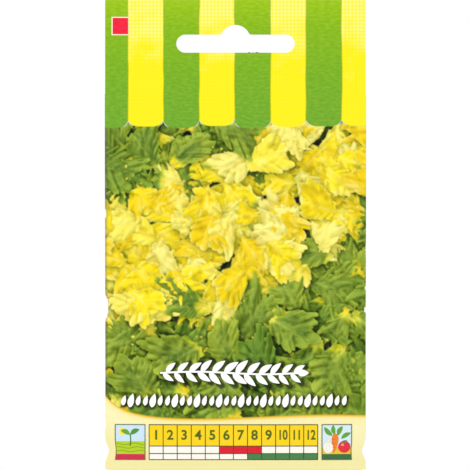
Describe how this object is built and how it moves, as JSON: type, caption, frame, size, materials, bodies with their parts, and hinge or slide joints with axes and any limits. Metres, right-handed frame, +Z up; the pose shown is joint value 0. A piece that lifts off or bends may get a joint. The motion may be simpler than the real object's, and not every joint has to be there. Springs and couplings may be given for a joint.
{
  "type": "seed packet",
  "caption": "Flat paper seed packet with a punched hang slot in its header, folded from one blank and glued, with loose seeds settled in the pocket.",
  "frame": {"origin": "the place where a display hook bears: the top of the hang slot, halfway through the header's thickness", "axes": "+X across the packet to the right as seen from the front, +Y from the front to the back, +Z up towards the header's top edge"},
  "size_m": [0.0722, 0.006, 0.1301],
  "materials": {
    "printed_coated_paper": "printed in colour, satin coating",
    "dried_glue": "thin dried film",
    "seed_coat": "dry, matt, finely ribbed"
  },
  "bodies": {
    "root": {"paper_packet": "printed_coated_paper", "header_glue": "dried_glue", "glue_seam_left": "dried_glue", "glue_seam_right": "dried_glue", "seeds": "seed_coat"}
  },
  "joints": []
}
